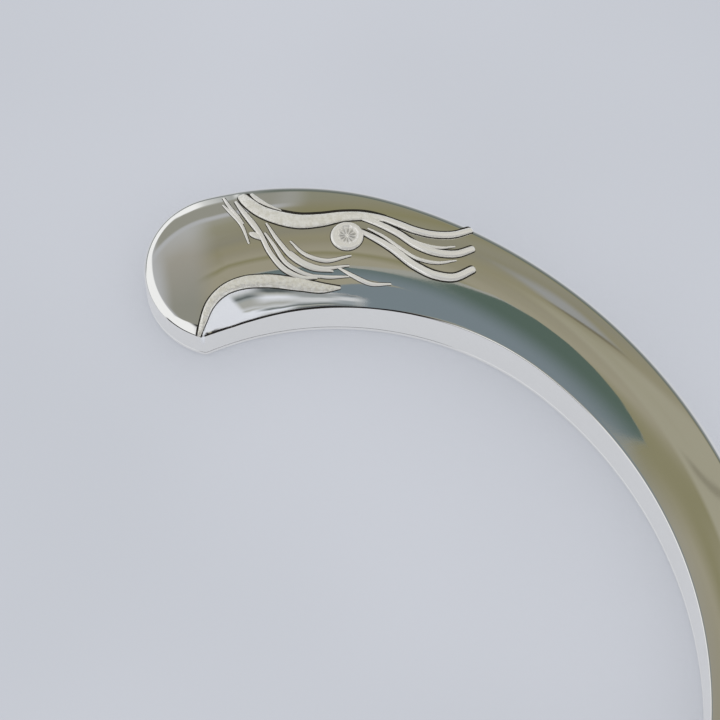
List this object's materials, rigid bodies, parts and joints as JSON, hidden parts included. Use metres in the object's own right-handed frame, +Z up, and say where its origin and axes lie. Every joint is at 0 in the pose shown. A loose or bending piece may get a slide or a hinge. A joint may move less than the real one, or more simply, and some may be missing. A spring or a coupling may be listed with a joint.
{
  "type": "baby rattle",
  "caption": "Hollow polished silver C-shaped hand rattle with a stylised head at each end and loose beads sealed inside.",
  "frame": {"origin": "centre of the C's bounding box, on the flat back that it lies on", "axes": "+Z up out of the crowned face, +Y along the C's long side, towards the upper head, and the C opens towards -X"},
  "size_m": [0.0584, 0.102, 0.0062],
  "materials": {
    "polished_silver": "polished",
    "raw_silver": "satin",
    "steel_bead": "gloss"
  },
  "bodies": {
    "shell": {"front_shell": "polished_silver", "back_plate": "polished_silver", "inner_bearer_strip": "raw_silver", "outer_bearer_strip": "raw_silver", "upper_head_bearer_strip": "raw_silver", "lower_head_bearer_strip": "raw_silver", "upper_baffle": "raw_silver", "lower_baffle": "raw_silver", "upper_vent_plug": "polished_silver", "lower_vent_plug": "polished_silver"},
    "bead_01_body": {"bead_01": "steel_bead"},
    "bead_02_body": {"bead_02": "steel_bead"},
    "bead_03_body": {"bead_03": "steel_bead"},
    "bead_04_body": {"bead_04": "steel_bead"},
    "bead_05_body": {"bead_05": "steel_bead"},
    "bead_06_body": {"bead_06": "steel_bead"},
    "bead_07_body": {"bead_07": "steel_bead"},
    "bead_08_body": {"bead_08": "steel_bead"},
    "bead_09_body": {"bead_09": "steel_bead"},
    "bead_10_body": {"bead_10": "steel_bead"}
  },
  "joints": [
    {"name": "bead_01_roll", "type": "hinge", "parent": "shell", "child": "bead_01_body", "pos_m": [-0.02093, 0, 0.0024], "axis": [0, 0, 1], "range_deg": [-3.5, 3.5]},
    {"name": "bead_02_roll", "type": "hinge", "parent": "shell", "child": "bead_02_body", "pos_m": [-0.02093, 0, 0.0024], "axis": [0, 0, 1], "range_deg": [-3.5, 3.5]},
    {"name": "bead_03_roll", "type": "hinge", "parent": "shell", "child": "bead_03_body", "pos_m": [-0.02093, 0, 0.0024], "axis": [0, 0, 1], "range_deg": [-3.5, 3.5]},
    {"name": "bead_04_roll", "type": "hinge", "parent": "shell", "child": "bead_04_body", "pos_m": [-0.02093, 0, 0.0024], "axis": [0, 0, 1], "range_deg": [-3.5, 3.5]},
    {"name": "bead_05_roll", "type": "hinge", "parent": "shell", "child": "bead_05_body", "pos_m": [-0.02093, 0, 0.0024], "axis": [0, 0, 1], "range_deg": [-3.5, 3.5]},
    {"name": "bead_06_roll", "type": "hinge", "parent": "shell", "child": "bead_06_body", "pos_m": [-0.02093, 0, 0.0024], "axis": [0, 0, 1], "range_deg": [-3.5, 3.5]},
    {"name": "bead_07_roll", "type": "hinge", "parent": "shell", "child": "bead_07_body", "pos_m": [-0.02093, 0, 0.0024], "axis": [0, 0, 1], "range_deg": [-3.5, 3.5]},
    {"name": "bead_08_roll", "type": "hinge", "parent": "shell", "child": "bead_08_body", "pos_m": [-0.02093, 0, 0.0024], "axis": [0, 0, 1], "range_deg": [-3.5, 3.5]},
    {"name": "bead_09_roll", "type": "hinge", "parent": "shell", "child": "bead_09_body", "pos_m": [-0.02093, 0, 0.0024], "axis": [0, 0, 1], "range_deg": [-3.5, 3.5]},
    {"name": "bead_10_roll", "type": "hinge", "parent": "shell", "child": "bead_10_body", "pos_m": [-0.02093, 0, 0.0024], "axis": [0, 0, 1], "range_deg": [-3.5, 3.5]}
  ]
}
